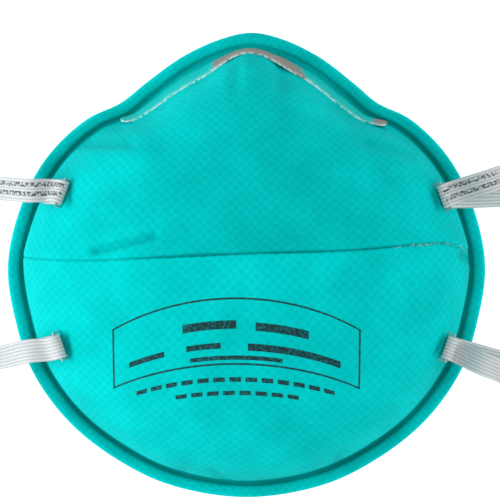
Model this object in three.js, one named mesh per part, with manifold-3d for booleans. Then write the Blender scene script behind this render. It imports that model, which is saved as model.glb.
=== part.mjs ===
// A moulded cup face mask with a bent nose clip and two flat elastic headbands.
// Millimetres, +Z up: the mask rests on its rim with the dome up and the nose towards +Y.
import * as THREE from 'three';
import Module from 'manifold-3d';
import { mergeVertices } from 'three/addons/utils/BufferGeometryUtils.js';

const wasm = await Module();
wasm.setup();

// Driving dimensions of the cup
const maskWidth = 130;
const maskHeight = 126.2;
const cupDepth = 50;
const wall = 2.2;
const crownRise = 2.9;
const noseShift = 1.4;
const noseArch = 4;

// The welded rim: an outer roll, a pressed groove inside it, then the foot of the wall
const rimWidth = 3.3;
const rimHeight = 2.2;
const grooveWidth = 1.5;
const grooveFloor = 0.9;
const footHeight = 1.5;

// The pleat across the middle, where the lower panel laps over the upper one
const lapHeight = 0.8;
const lapReach = 7;
const tuckDepth = 0.8;
const tuckReach = 3.5;
const pleatEdge = 0.7;
const pleatTilt = 2.6;
const liftHeight = 0.9;

// Nose clip
const clipWidth = 5;
const clipThickness = 0.5;
const clipHeight = 8.5;
const clipTipLift = 1;

// Headbands and their staples
const bandWidth = 6.35;
const bandThickness = 0.9;
const wire = 0.5;
const stapleOverhang = 0.8;
const clinchLength = 2.6;
const clinchGap = 0.8;
const clearance = 0.3;
const overlap = 0.2;
const flatRun = 4;

// Half of the rim's outline, nose to chin, as shares of half the width and half the height
const outlineKnots = [
  { across: 0, up: 1 },
  { across: 0.125, up: 0.974 },
  { across: 0.287, up: 0.897 },
  { across: 0.438, up: 0.784 },
  { across: 0.535, up: 0.703 },
  { across: 0.68, up: 0.629 },
  { across: 0.837, up: 0.472 },
  { across: 0.943, up: 0.266 },
  { across: 1, up: 0 },
  { across: 0.965, up: -0.252 },
  { across: 0.895, up: -0.46 },
  { across: 0.751, up: -0.667 },
  { across: 0.566, up: -0.822 },
  { across: 0.33, up: -0.944 },
  { across: 0, up: -1 },
];

// Fullness of the dome's section: 2 is an ellipse, more is boxier
const fullness = { nose: 2.1, side: 2.15, chin: 2.45 };

// Higher up the dome's contours turn from the outline into this oval, as insets from the outline's box
const domeInset = { side: 5.2, nose: 6, chin: 6 };

// How far the wall is drawn in beside the nose, by the angle from straight up, as shares of pinchDepth
const pinchDepth = 4.6;
const nosePinch = [
  { angle: -60, draw: 0 },
  { angle: -44, draw: 0.55 },
  { angle: -28, draw: 0.85 },
  { angle: -15, draw: 1 },
  { angle: 0, draw: 0.1 },
  { angle: 16, draw: 0.8 },
  { angle: 30, draw: 0.9 },
  { angle: 46, draw: 0.55 },
  { angle: 60, draw: 0 },
];

// Creases and dents, from one end to the other, as shares of half the width and half the height,
// with their depth and reach as shares of creaseDepth and creaseReach
const creaseDepth = 0.8;
const creaseReach = 2;
const creases = [
  { name: 'left brow', x1: -0.7, y1: 0.53, x2: -0.47, y2: 0.507, depth: 1, reach: 0.85 },
  { name: 'right brow', x1: 0.49, y1: 0.512, x2: 0.677, y2: 0.464, depth: 1, reach: 0.85 },
  { name: 'left of the bridge', x1: -0.045, y1: 0.85, x2: -0.045, y2: 0.75, depth: 0.87, reach: 1.1 },
  { name: 'right of the bridge', x1: 0.145, y1: 0.86, x2: 0.145, y2: 0.76, depth: 0.87, reach: 1.1 },
  { name: 'left cheek fold', x1: -0.54, y1: 0.05, x2: -0.37, y2: 0.127, depth: 0.62, reach: 0.8 },
  { name: 'chin left', x1: -0.3, y1: -0.9, x2: -0.25, y2: -0.87, depth: 0.62, reach: 0.65 },
  { name: 'chin middle', x1: -0.13, y1: -0.87, x2: -0.07, y2: -0.93, depth: 0.75, reach: 0.65 },
  { name: 'chin right', x1: 0.37, y1: -0.8, x2: 0.385, y2: -0.89, depth: 0.75, reach: 0.65 },
];

// The four ends of the bands: place on the cup as shares, way out and way of the folded tail in degrees,
// and the tail's length as a share of tailLength
const tailLength = 8;
const bandEnds = {
  upper_left: { across: -0.735, up: 0.298, heading: 176, tailHeading: 176, tail: 1 },
  upper_right: { across: 0.79, up: 0.285, heading: 20, tailHeading: 2, tail: 2.5 },
  lower_left: { across: -0.745, up: -0.33, heading: 193, tailHeading: 193, tail: 1 },
  lower_right: { across: 0.81, up: -0.34, heading: -24, tailHeading: -16, tail: 2.4 },
};

// The bands' free routes after their ends, chosen by hand: place, and turn from flat (0) to on edge (90)
const upperRoute = [
  { x: -57, y: 19.9, z: 25.5, turn: 0 },
  { x: -63, y: 20.4, z: 19.5, turn: 4 },
  { x: -69, y: 21.2, z: 13, turn: 18 },
  { x: -74, y: 24, z: 7.6, turn: 48 },
  { x: -77, y: 30, z: 4, turn: 78 },
  { x: -78.5, y: 40, z: 3.2, turn: 90 },
  { x: -79, y: 52, z: 3.2, turn: 90 },
  { x: -77.5, y: 63.5, z: 3.2, turn: 90 },
  { x: -73, y: 72.5, z: 3.2, turn: 90 },
  { x: -65, y: 78, z: 3.2, turn: 90 },
  { x: -51, y: 80.5, z: 3.2, turn: 90 },
  { x: -26, y: 81.3, z: 3.2, turn: 90 },
  { x: 0, y: 81.5, z: 3.2, turn: 90 },
  { x: 27, y: 81.3, z: 3.2, turn: 90 },
  { x: 53, y: 80.5, z: 3.2, turn: 90 },
  { x: 67.5, y: 78, z: 3.2, turn: 90 },
  { x: 75.5, y: 72.5, z: 3.2, turn: 90 },
  { x: 80, y: 63.5, z: 3.2, turn: 90 },
  { x: 81.5, y: 53, z: 3.2, turn: 90 },
  { x: 81.5, y: 42, z: 3.6, turn: 84 },
  { x: 80.5, y: 33, z: 6, turn: 62 },
  { x: 76.5, y: 27.3, z: 10.5, turn: 36 },
  { x: 70.5, y: 24.6, z: 16.5, turn: 16 },
  { x: 64, y: 22.3, z: 22, turn: 4 },
];
const lowerRoute = [
  { x: -57.5, y: -22.6, z: 24, turn: 0 },
  { x: -63, y: -23.9, z: 18.5, turn: -4 },
  { x: -69, y: -25.8, z: 12.5, turn: -18 },
  { x: -74, y: -29.5, z: 7.2, turn: -48 },
  { x: -77, y: -36, z: 4, turn: -78 },
  { x: -78, y: -46, z: 3.2, turn: -90 },
  { x: -76.5, y: -56.5, z: 3.2, turn: -90 },
  { x: -71.5, y: -66, z: 3.2, turn: -90 },
  { x: -62, y: -71.8, z: 3.2, turn: -90 },
  { x: -48, y: -74.2, z: 3.2, turn: -90 },
  { x: -26, y: -74.9, z: 3.2, turn: -90 },
  { x: 0, y: -75, z: 3.2, turn: -90 },
  { x: 26, y: -74.9, z: 3.2, turn: -90 },
  { x: 50, y: -74.2, z: 3.2, turn: -90 },
  { x: 64, y: -71.8, z: 3.2, turn: -90 },
  { x: 73.5, y: -66, z: 3.2, turn: -90 },
  { x: 78.5, y: -57, z: 3.2, turn: -90 },
  { x: 79.8, y: -46.5, z: 3.8, turn: -84 },
  { x: 78.6, y: -38.4, z: 7, turn: -62 },
  { x: 74.6, y: -32.2, z: 12, turn: -34 },
  { x: 68.8, y: -28.5, z: 17.5, turn: -14 },
  { x: 63, y: -26.1, z: 22, turn: -4 },
];

// Mesh fineness
const profileRows = 17;
const innerRows = 9;
const bandSteps = 70;
const clipSteps = 44;
const foldSteps = 6;

const halfWidth = maskWidth / 2;
const halfHeight = maskHeight / 2;
const degrees = Math.PI / 180;
const footInset = rimWidth + grooveWidth;
const up = new THREE.Vector3(0, 0, 1);

const teal = new THREE.MeshStandardMaterial({ color: 0x0bbfb8, roughness: 0.9, metalness: 0 });
const aluminium = new THREE.MeshStandardMaterial({ color: 0x9a9c9b, roughness: 0.4, metalness: 1 });
const elastic = new THREE.MeshStandardMaterial({ color: 0xe9ecea, roughness: 0.85, metalness: 0 });
const steel = new THREE.MeshStandardMaterial({ color: 0xb9bcbd, roughness: 0.35, metalness: 1 });

function smoothstep(value) {
  const t = Math.min(1, Math.max(0, value));
  return t * t * (3 - 2 * t);
}

function outlineCurve() {
  const place = (side) => ({ across, up: rise }) => {
    const shift = noseShift * Math.max(0, rise) ** 2;
    return new THREE.Vector3(side * across * halfWidth + shift, rise * halfHeight, 0);
  };
  const right = outlineKnots.map(place(1));
  const left = outlineKnots.slice(1, -1).reverse().map(place(-1));
  return new THREE.CatmullRomCurve3([...right, ...left], true, 'centripetal');
}

// The outline as seen from the crown: its reach at each whole degree
function reachByDegree() {
  const points = outlineCurve().getPoints(1440);
  const polar = points.map((p) => ({
    angle: (Math.atan2(p.y - crownRise, p.x) / degrees + 360) % 360,
    reach: Math.hypot(p.x, p.y - crownRise),
  }));
  polar.sort((a, b) => a.angle - b.angle);
  return Array.from({ length: 361 }, (_, whole) => {
    const after = Math.max(0, polar.findIndex((p) => p.angle >= whole));
    const [next, last] = [polar[after], polar.at(after - 1)];
    const gap = (next.angle - last.angle + 360) % 360;
    const past = (next.angle - whole + 360) % 360;
    return THREE.MathUtils.lerp(next.reach, last.reach, past / gap);
  });
}
const reachTable = reachByDegree();

function rimReach(angle) {
  const turn = ((angle % 360) + 360) % 360;
  const whole = Math.floor(turn);
  return reachTable[whole] + (turn - whole) * (reachTable[whole + 1] - reachTable[whole]);
}

function pinchAt(angle) {
  const fromNose = 90 - (((angle % 360) + 360) % 360);
  const next = nosePinch.findIndex((row) => row.angle > fromNose);
  if (next <= 0) {
    return 0;
  }
  const before = nosePinch[next - 1];
  const after = nosePinch[next];
  const share = smoothstep((fromNose - before.angle) / (after.angle - before.angle));
  return pinchDepth * (before.draw + share * (after.draw - before.draw));
}

function archAt(angle) {
  const fromNose = Math.abs((((angle % 360) + 360) % 360) - 90);
  return noseArch * (1 - smoothstep(fromNose / 42));
}

function sectionPower(angle) {
  const rise = Math.sin(angle * degrees);
  const end = rise > 0 ? fullness.nose : fullness.chin;
  return 2 / (fullness.side + (end - fullness.side) * rise * rise);
}

function domeReach(angle) {
  const [run, rise] = [Math.cos(angle * degrees), Math.sin(angle * degrees)];
  const tall = rise > 0 ? halfHeight - crownRise - domeInset.nose : halfHeight + crownRise - domeInset.chin;
  return 1 / Math.hypot(run / (halfWidth - domeInset.side), rise / tall);
}

// The smooth cup before its pleat and creases: climb runs from 0 at the wall's foot to 90 at the crown
function smoothPoint(angle, climb) {
  const power = sectionPower(angle);
  const share = Math.max(0, Math.cos(climb * degrees)) ** power;
  const lift = Math.sin(climb * degrees) ** power;
  const foot = rimReach(angle) - footInset;
  const drawn = pinchAt(angle) * smoothstep(lift * 3.2) * share ** 5;
  const reach = THREE.MathUtils.lerp(foot, domeReach(angle), lift * lift) * share - drawn;
  const z = footHeight + archAt(angle) * (1 - lift) + (cupDepth - footHeight) * lift;
  return new THREE.Vector3(reach * Math.cos(angle * degrees), crownRise + reach * Math.sin(angle * degrees), z);
}

function smoothNormal(angle, climb) {
  const low = Math.max(0, climb - 0.5);
  const high = Math.min(89.5, climb + 0.5);
  const uphill = smoothPoint(angle, high).sub(smoothPoint(angle, low));
  const along = smoothPoint(angle + 0.7, Math.min(climb, 89)).sub(smoothPoint(angle - 0.7, Math.min(climb, 89)));
  return along.cross(uphill).normalize();
}

function pleatTurn(reach) {
  const share = Math.min(1, reach / halfWidth);
  return pleatTilt * (1 - 0.8 * share ** 6);
}

// Height of the pleat's lap and tuck, by the distance above its edge
function pleatRelief(x, y) {
  const tilt = pleatTurn(Math.hypot(x, y - crownRise)) * degrees;
  const above = -x * Math.sin(tilt) + (y - crownRise) * Math.cos(tilt);
  const lifted = liftHeight * Math.exp(-(((x / halfWidth - 0.79) / 0.13) ** 2));
  const lap = (lapHeight + lifted) * Math.exp(Math.min(0, above) / lapReach);
  const tuck = -tuckDepth * Math.exp(-Math.max(0, above) / tuckReach);
  return lap + (tuck - lap) * smoothstep(above / pleatEdge + 0.5);
}

function creaseRelief(x, y) {
  let relief = 0;
  for (const crease of creases) {
    const from = new THREE.Vector2(crease.x1 * halfWidth, crease.y1 * halfHeight);
    const run = new THREE.Vector2(crease.x2 * halfWidth, crease.y2 * halfHeight).sub(from);
    const here = new THREE.Vector2(x, y).sub(from);
    const share = Math.min(1, Math.max(0, here.dot(run) / run.lengthSq()));
    const distance = here.distanceTo(run.multiplyScalar(share));
    relief -= creaseDepth * crease.depth * Math.exp(-((distance / (creaseReach * crease.reach)) ** 2));
  }
  return relief;
}

function cupPoint(angle, climb) {
  const point = smoothPoint(angle, climb);
  const relief = pleatRelief(point.x, point.y) + creaseRelief(point.x, point.y);
  return point.addScaledVector(smoothNormal(angle, climb), relief * smoothstep(climb / 12));
}

// The smooth cup's place and normal over a point of the plan
function cupOver(x, y) {
  const angle = Math.atan2(y - crownRise, x) / degrees;
  const reach = Math.hypot(x, y - crownRise);
  let low = 0;
  let high = 89.9;
  for (let step = 0; step < 40; step += 1) {
    const middle = (low + high) / 2;
    const there = smoothPoint(angle, middle);
    if (Math.hypot(there.x, there.y - crownRise) > reach) {
      low = middle;
    } else {
      high = middle;
    }
  }
  return { point: smoothPoint(angle, low), normal: smoothNormal(angle, low), angle, climb: low };
}

// Columns round the cup, drawn together at the pleat's two ends so that its edge stays sharp
function columnAngles() {
  const steps = [0.35, 1.3, 3.5, 8, 13.5, 19.5, 25.5, 31.5, 37.5, 43.5, 49.5, 55.5, 61.5, 67.5, 73.5, 79.5, 85];
  const quarter = [...steps, 90];
  const half = [...quarter, ...steps.map((step) => 180 - step).reverse()];
  return [...half, ...half.map((step) => step + 180)];
}

function columnAt(column, reach) {
  const fromPleat = Math.abs(Math.sin(column * degrees));
  return column + pleatTurn(reach) * (1 - smoothstep(fromPleat * 1.6));
}

function rimPoint(angle, inset, height) {
  const reach = rimReach(angle) - inset;
  const z = height + archAt(angle);
  return new THREE.Vector3(reach * Math.cos(angle * degrees), crownRise + reach * Math.sin(angle * degrees), z);
}

// Rings of the whole closed shell, from the crown down the outside and back up the inside
function shellRings() {
  const columns = columnAngles();
  const ring = (reach, place) => columns.map((column) => place(columnAt(column, reach)));
  const rings = [];
  for (let row = profileRows - 1; row > 0; row -= 1) {
    const climb = 88 * (row / profileRows) ** 1.1 + 1.2;
    rings.push(ring(halfWidth * Math.cos(climb * degrees), (angle) => cupPoint(angle, climb)));
  }
  const rimRows = [
    { inset: footInset, height: footHeight },
    { inset: rimWidth + grooveWidth / 2, height: grooveFloor },
    { inset: rimWidth, height: grooveFloor + 0.2 },
    { inset: rimWidth * 0.75, height: rimHeight },
    { inset: rimWidth * 0.35, height: rimHeight },
    { inset: 0, height: rimHeight * 0.55 },
    { inset: 0.4, height: 0 },
    { inset: footInset + wall, height: 0 },
  ];
  for (const { inset, height } of rimRows) {
    rings.push(ring(halfWidth, (angle) => rimPoint(angle, inset, height)));
  }
  for (let row = 1; row < innerRows; row += 1) {
    const climb = 90 * (row / innerRows);
    rings.push(ring(halfWidth, (angle) => smoothPoint(angle, climb).addScaledVector(smoothNormal(angle, climb), -wall)));
  }
  return rings;
}

function stackGeometry(rings, firstTip, lastTip) {
  const count = rings[0].length;
  const points = [firstTip, ...rings.flat(), lastTip];
  const index = [];
  for (let column = 0; column < count; column += 1) {
    const next = (column + 1) % count;
    index.push(0, 1 + column, 1 + next);
    for (let row = 0; row + 1 < rings.length; row += 1) {
      const a = 1 + row * count + column;
      const b = 1 + row * count + next;
      index.push(a, a + count, b + count, a, b + count, b);
    }
    const last = 1 + (rings.length - 1) * count;
    index.push(last + column, points.length - 1, last + next);
  }
  const geometry = new THREE.BufferGeometry().setFromPoints(points);
  geometry.setIndex(index);
  return geometry;
}

function shellGeometry() {
  const top = new THREE.Vector3(0, crownRise, cupDepth);
  const inside = new THREE.Vector3(0, crownRise, cupDepth - wall);
  return stackGeometry(shellRings(), top, inside);
}

// A flat strip with chamfered edges along stations that give a place, a width way and a face way
function stripGeometry(stations, width, thickness) {
  const chamfer = thickness * 0.3;
  const halfSection = [
    [width / 2 - chamfer, thickness / 2],
    [width / 2, thickness / 2 - chamfer],
    [width / 2, chamfer - thickness / 2],
    [width / 2 - chamfer, -thickness / 2],
  ];
  const section = [...halfSection, ...halfSection.map(([side, face]) => [-side, -face])];
  const rings = stations.map(({ place, side, face }) => section.map(([across, out]) => place
    .clone()
    .addScaledVector(side, across)
    .addScaledVector(face, out)));
  const ends = [stations[0].place, stations[stations.length - 1].place];
  return stackGeometry(rings, ends[0].clone(), ends[1].clone());
}

function facingOut(geometry) {
  const position = geometry.getAttribute('position');
  const index = geometry.getIndex().array;
  const [a, b, c] = [new THREE.Vector3(), new THREE.Vector3(), new THREE.Vector3()];
  let volume = 0;
  for (let i = 0; i < index.length; i += 3) {
    a.fromBufferAttribute(position, index[i]);
    b.fromBufferAttribute(position, index[i + 1]);
    c.fromBufferAttribute(position, index[i + 2]);
    volume += a.dot(b.cross(c));
  }
  if (volume < 0) {
    for (let i = 0; i < index.length; i += 3) {
      [index[i + 1], index[i + 2]] = [index[i + 2], index[i + 1]];
    }
  }
  return geometry;
}

function toSolid(geometry) {
  const bare = facingOut(geometry.clone());
  bare.deleteAttribute('normal');
  bare.deleteAttribute('uv');
  const merged = mergeVertices(bare, 1e-5);
  return new wasm.Manifold(new wasm.Mesh({
    numProp: 3,
    vertProperties: new Float32Array(merged.getAttribute('position').array),
    triVerts: new Uint32Array(merged.getIndex().array),
  }));
}

function toGeometry(solid) {
  const mesh = solid.getMesh();
  const geometry = new THREE.BufferGeometry();
  geometry.setAttribute('position', new THREE.BufferAttribute(new Float32Array(mesh.vertProperties), 3));
  geometry.setIndex(new THREE.BufferAttribute(new Uint32Array(mesh.triVerts), 1));
  return geometry;
}

// The way down the wall that keeps a heading in plan
function wallWay(normal, heading) {
  const level = new THREE.Vector3(Math.cos(heading * degrees), Math.sin(heading * degrees), 0);
  const drop = level.dot(normal) / normal.z;
  return level.setZ(-drop).normalize();
}

// Axes on the cup where a band ends: out of the cup, along the band and across it
function endAxes({ across, up: rise, heading }) {
  const { point, normal } = cupOver(across * halfWidth, rise * halfHeight);
  const along = wallWay(normal, heading);
  const side = new THREE.Vector3().crossVectors(normal, along);
  return { point, normal, along, side };
}

const tailLevel = clearance + bandThickness / 2;
const wireLevel = clearance + bandThickness + clearance + wire / 2;
const bandLevel = wireLevel + wire / 2 + clearance + bandThickness / 2;
const foldRadius = (bandLevel - tailLevel) / 2;

function onEnd(axes, along, side, level) {
  return axes.point
    .clone()
    .addScaledVector(axes.along, along)
    .addScaledVector(axes.side, side)
    .addScaledVector(axes.normal, level);
}

// The folded end of a band: the bend at its inner end and the tail that lies under it
function foldedEnd(end) {
  const axes = endAxes(end);
  const bend = Array.from({ length: foldSteps + 1 }, (_, step) => {
    const swing = (step / foldSteps - 0.5) * Math.PI;
    const inward = -foldRadius * Math.cos(swing);
    const face = axes.normal.clone().multiplyScalar(Math.sin(swing)).addScaledVector(axes.along, -Math.cos(swing));
    return { place: onEnd(axes, inward, 0, wireLevel + foldRadius * Math.sin(swing)), side: axes.side, face };
  });
  const way = wallWay(axes.normal, end.tailHeading);
  const across = new THREE.Vector3().crossVectors(axes.normal, way);
  const tail = [0, 0.3, 0.6, 1].map((share) => ({
    place: onEnd(axes, -overlap, 0, tailLevel).addScaledVector(way, share * end.tail * tailLength),
    side: across,
    face: axes.normal,
  }));
  return toSolid(stripGeometry(bend, bandWidth, bandThickness))
    .add(toSolid(stripGeometry(tail, bandWidth, bandThickness)));
}

// Stations along a band: on the cup at its two ends, free on its route between them
function bandStations(first, last, route) {
  const [start, finish] = [endAxes(first), endAxes(last)];
  const back = finish.side.clone().negate();
  const knots = [
    { place: onEnd(start, -overlap, 0, bandLevel), side: start.side },
    { place: onEnd(start, flatRun, 0, bandLevel), side: start.side },
    ...route.map(({ x, y, z, turn }) => ({ place: new THREE.Vector3(x, y, z), turn: turn * degrees })),
    { place: onEnd(finish, flatRun, 0, bandLevel), side: back },
    { place: onEnd(finish, -overlap, 0, bandLevel), side: back },
  ];
  const curve = new THREE.CatmullRomCurve3(knots.map((knot) => knot.place), false, 'centripetal');
  knots.forEach((knot, i) => {
    const tangent = curve.getTangent(i / (knots.length - 1));
    const level = new THREE.Vector3().crossVectors(up, tangent).normalize();
    const face = new THREE.Vector3().crossVectors(tangent, level);
    knot.side ??= level.multiplyScalar(Math.cos(knot.turn)).addScaledVector(face, Math.sin(knot.turn));
  });
  return Array.from({ length: bandSteps + 1 }, (_, step) => {
    const t = curve.getUtoTmapping(step / bandSteps);
    const tangent = curve.getTangent(t);
    const at = t * (knots.length - 1);
    const before = Math.min(knots.length - 2, Math.floor(at));
    const side = knots[before].side.clone().lerp(knots[before + 1].side, at - before);
    side.addScaledVector(tangent, -side.dot(tangent)).normalize();
    return { place: curve.getPoint(t), side, face: new THREE.Vector3().crossVectors(tangent, side) };
  });
}

function bandGeometry(first, last, route) {
  const loop = toSolid(stripGeometry(bandStations(first, last, route), bandWidth, bandThickness));
  return toGeometry(loop.add(foldedEnd(first)).add(foldedEnd(last)));
}

// A staple goes over the tail, through the wall beside it, and is clinched inside
function stapleLegs(end) {
  const axes = endAxes(end);
  const half = bandWidth / 2 + stapleOverhang - wire / 2;
  const inside = -wall - clinchGap - wire / 2;
  return { axes, half, inside };
}

function barGeometry(axes, from, to, thickness) {
  const start = onEnd(axes, ...from);
  const finish = onEnd(axes, ...to);
  const way = finish.clone().sub(start);
  const bar = new THREE.BoxGeometry(thickness, thickness, way.length());
  const back = new THREE.Vector3().crossVectors(way.clone().normalize(), axes.along);
  const turn = new THREE.Matrix4().makeBasis(axes.along, back, way.normalize());
  turn.setPosition(start.lerp(finish, 0.5));
  return bar.applyMatrix4(turn);
}

function stapleGeometry(end) {
  const { axes, half, inside } = stapleLegs(end);
  const bars = [barGeometry(axes, [0, -half - wire / 2, wireLevel], [0, half + wire / 2, wireLevel], wire)];
  for (const side of [-1, 1]) {
    const tip = side * (half - clinchLength);
    bars.push(barGeometry(axes, [0, side * half, wireLevel], [0, side * half, inside - wire / 2], wire));
    bars.push(barGeometry(axes, [0, side * (half + wire / 2), inside], [0, tip, inside], wire));
  }
  return toGeometry(bars.map(toSolid).reduce((joined, bar) => joined.add(bar)));
}

function stapleHoles(end) {
  const { axes, half } = stapleLegs(end);
  const hole = wire + 2 * clearance;
  const reach = 2 * wall;
  return [-1, 1].map((side) => toSolid(barGeometry(
    axes,
    [0, side * half, -reach],
    [0, side * half, reach],
    hole,
  )));
}

function piercedShell() {
  const holes = Object.values(bandEnds).flatMap(stapleHoles);
  return toGeometry(holes.reduce((shell, hole) => shell.subtract(hole), toSolid(shellGeometry())));
}

// The clip follows the wall over the nose at one height, and its two tips lift a little
const clipReach = { left: 133.5, right: 42.5 };

function clipStation(share) {
  const angle = THREE.MathUtils.lerp(clipReach.left, clipReach.right, share);
  let low = 0;
  let high = 60;
  for (let step = 0; step < 30; step += 1) {
    const middle = (low + high) / 2;
    if (smoothPoint(angle, middle).z < clipHeight + archAt(angle)) {
      low = middle;
    } else {
      high = middle;
    }
  }
  const normal = smoothNormal(angle, low);
  const endwise = Math.abs(2 * share - 1) ** 12;
  const off = clearance + clipThickness / 2 + clipTipLift * endwise;
  return { place: smoothPoint(angle, low).addScaledVector(normal, off), face: normal };
}

function clipGeometry() {
  const stations = Array.from({ length: clipSteps + 1 }, (_, step) => clipStation(step / clipSteps));
  stations.forEach((station, i) => {
    const before = stations[Math.max(0, i - 1)].place;
    const after = stations[Math.min(clipSteps, i + 1)].place;
    const along = after.clone().sub(before).normalize();
    station.side = new THREE.Vector3().crossVectors(station.face, along).normalize();
  });
  return stripGeometry(stations, clipWidth, clipThickness);
}

function named(name, geometry, material) {
  const mesh = new THREE.Mesh(facingOut(geometry), material);
  mesh.name = name;
  return mesh;
}

const mask = new THREE.Group();
mask.add(named('cup_shell', piercedShell(), teal));
mask.add(named('nose_clip', clipGeometry(), aluminium));
mask.add(named('upper_headband', bandGeometry(bandEnds.upper_left, bandEnds.upper_right, upperRoute), elastic));
mask.add(named('lower_headband', bandGeometry(bandEnds.lower_left, bandEnds.lower_right, lowerRoute), elastic));
for (const [place, end] of Object.entries(bandEnds)) {
  mask.add(named(`staple_${place}`, stapleGeometry(end), steel));
}

export default mask;
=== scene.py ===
"""A moulded cup face mask: cloth cup, nose clip, headbands, staples, print, light and camera.

Sizes are in millimetres, as in the part's source, and turn to metres where a mesh is made.
"""

import logging
import math
from dataclasses import dataclass
from enum import Enum
from functools import partial
from typing import Any, Callable

import bpy
import numpy as np
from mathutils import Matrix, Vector


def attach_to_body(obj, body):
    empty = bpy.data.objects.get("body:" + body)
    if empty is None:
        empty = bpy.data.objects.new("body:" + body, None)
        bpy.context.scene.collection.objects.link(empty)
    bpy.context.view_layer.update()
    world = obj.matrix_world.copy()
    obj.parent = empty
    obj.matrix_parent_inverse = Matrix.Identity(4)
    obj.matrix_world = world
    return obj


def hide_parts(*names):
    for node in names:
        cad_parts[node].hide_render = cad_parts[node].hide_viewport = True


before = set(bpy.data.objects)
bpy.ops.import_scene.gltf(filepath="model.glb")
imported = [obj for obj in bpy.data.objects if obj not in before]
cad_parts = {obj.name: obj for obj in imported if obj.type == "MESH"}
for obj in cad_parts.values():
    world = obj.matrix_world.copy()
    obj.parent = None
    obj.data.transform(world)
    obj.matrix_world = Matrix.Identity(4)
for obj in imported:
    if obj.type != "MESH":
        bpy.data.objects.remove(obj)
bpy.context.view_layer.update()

Array = np.ndarray
Material = bpy.types.Material
Object = bpy.types.Object
Socket = bpy.types.NodeSocket
Tree = bpy.types.NodeTree
ATTRIBUTE = "ShaderNodeAttribute"
BUMP = "ShaderNodeBump"
MATH = "ShaderNodeMath"
MIX = "ShaderNodeMix"
NOISE = "ShaderNodeTexNoise"
RANGE = "ShaderNodeMapRange"
VECTOR_MATH = "ShaderNodeVectorMath"
MM = 0.001
# The elastic's ribs are this far apart
RIB = 0.9
log = logging.getLogger("face_mask")


class Slot(Enum):
    """The record's material slots."""

    CUP = "cup_nonwoven"
    CLIP = "clip_aluminium"
    BAND = "braided_elastic"


# Numbers


def smoothstep(value: Array | float) -> Array:
    """Ease from 0, where the value is 0 or less, to 1, where it is 1 or more."""
    t = np.clip(value, 0.0, 1.0)
    return t * t * (3.0 - 2.0 * t)


def bell(value: Array) -> Array:
    """Return 1 at 0, falling softly to 0 on both sides."""
    return np.exp(-(value**2))


def unit(vectors: Array) -> Array:
    """Return the vectors at length one."""
    return vectors / np.maximum(np.linalg.norm(vectors, axis=-1, keepdims=True), 1e-12)


def run_along(path: Array) -> Array:
    """Return how far along a path each of its points lies."""
    return np.concatenate([[0], np.cumsum(np.linalg.norm(np.diff(path, axis=0), axis=1))])


def curve_through(knots: Array, closed: bool, at: Array) -> Array:
    """Follow the centripetal Catmull-Rom curve through some knots.

    Args:
        knots: one row for each knot.
        closed: whether the last knot leads back to the first.
        at: places along the curve, counted in knots.

    Returns:
        One row for each place.
    """
    if closed:
        points = np.vstack([knots[-1:], knots, knots[:2]])
    else:
        points = np.vstack([2 * knots[0] - knots[1], knots, 2 * knots[-1] - knots[-2]])
    spans = len(knots) if closed else len(knots) - 1
    first = np.clip(np.floor(at).astype(int), 0, spans - 1)
    t = (at - first)[:, None]
    p0, p1, p2, p3 = (points[first + step] for step in range(4))
    d0, d1, d2 = (
        np.sqrt(np.linalg.norm(b - a, axis=1))[:, None] for a, b in ((p0, p1), (p1, p2), (p2, p3))
    )
    leave = ((p1 - p0) / d0 - (p2 - p0) / (d0 + d1) + (p2 - p1) / d1) * d1
    arrive = ((p2 - p1) / d1 - (p3 - p1) / (d1 + d2) + (p3 - p2) / d2) * d1
    square = -3 * p1 + 3 * p2 - 2 * leave - arrive
    cube = 2 * p1 - 2 * p2 + leave + arrive
    return p1 + leave * t + square * t**2 + cube * t**3


def tube(rings: Array) -> tuple[Array, list[tuple]]:
    """Close a stack of rings into one skin, with a fan at each end.

    Args:
        rings: ring by ring, point by point.

    Returns:
        The vertices, end centres first and last, and the faces, which point outwards.
    """
    count = rings.shape[1]
    points = np.vstack([rings[0].mean(0)[None], rings.reshape(-1, 3), rings[-1].mean(0)[None]])
    last = 1 + (len(rings) - 1) * count
    faces: list[tuple] = []
    for column in range(count):
        after = (column + 1) % count
        faces.append((0, 1 + after, 1 + column))
        for row in range(len(rings) - 1):
            a, b = 1 + row * count + column, 1 + row * count + after
            faces.append((a, b, b + count, a + count))
        faces.append((last + column, last + after, len(points) - 1))
    corner = [points[[face[i] for face in faces]] for i in range(3)]
    if np.einsum("ij,ij->i", corner[0], np.cross(corner[1], corner[2])).sum() < 0:
        faces = [face[::-1] for face in faces]
    return points, faces


# Blender helpers


def linear(code: str) -> tuple[float, float, float, float]:
    """Turn an sRGB hex colour to linear red, green and blue, with an alpha of 1."""
    values = [int(code[i : i + 2], 16) / 255 for i in (0, 2, 4)]
    red, green, blue = (v / 12.92 if v <= 0.04045 else ((v + 0.055) / 1.055) ** 2.4 for v in values)
    return (red, green, blue, 1.0)


def fill(node: bpy.types.Node, inputs: dict[Any, Any]) -> None:
    """Set or link a node's inputs.

    Args:
        node: the node.
        inputs: a value, or the socket to link, by the input's name or number.
    """
    for key, value in inputs.items():
        if isinstance(value, Socket):
            node.id_data.links.new(value, node.inputs[key])
        else:
            node.inputs[key].default_value = value


def add_node(tree: Tree, kind: str, inputs: dict | None = None, out: Any = 0, **settings: Any) -> Any:
    """Add one node.

    Args:
        tree: the tree that it goes into.
        kind: Blender's name for the node type.
        inputs: as in fill.
        out: the output to give back, by its name or number, or None for the node itself.
        **settings: the node's own properties.

    Returns:
        The output socket, or the node.
    """
    node = tree.nodes.new(kind)
    for key, value in settings.items():
        setattr(node, key, value)
    fill(node, inputs or {})
    return node if out is None else node.outputs[out]


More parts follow.
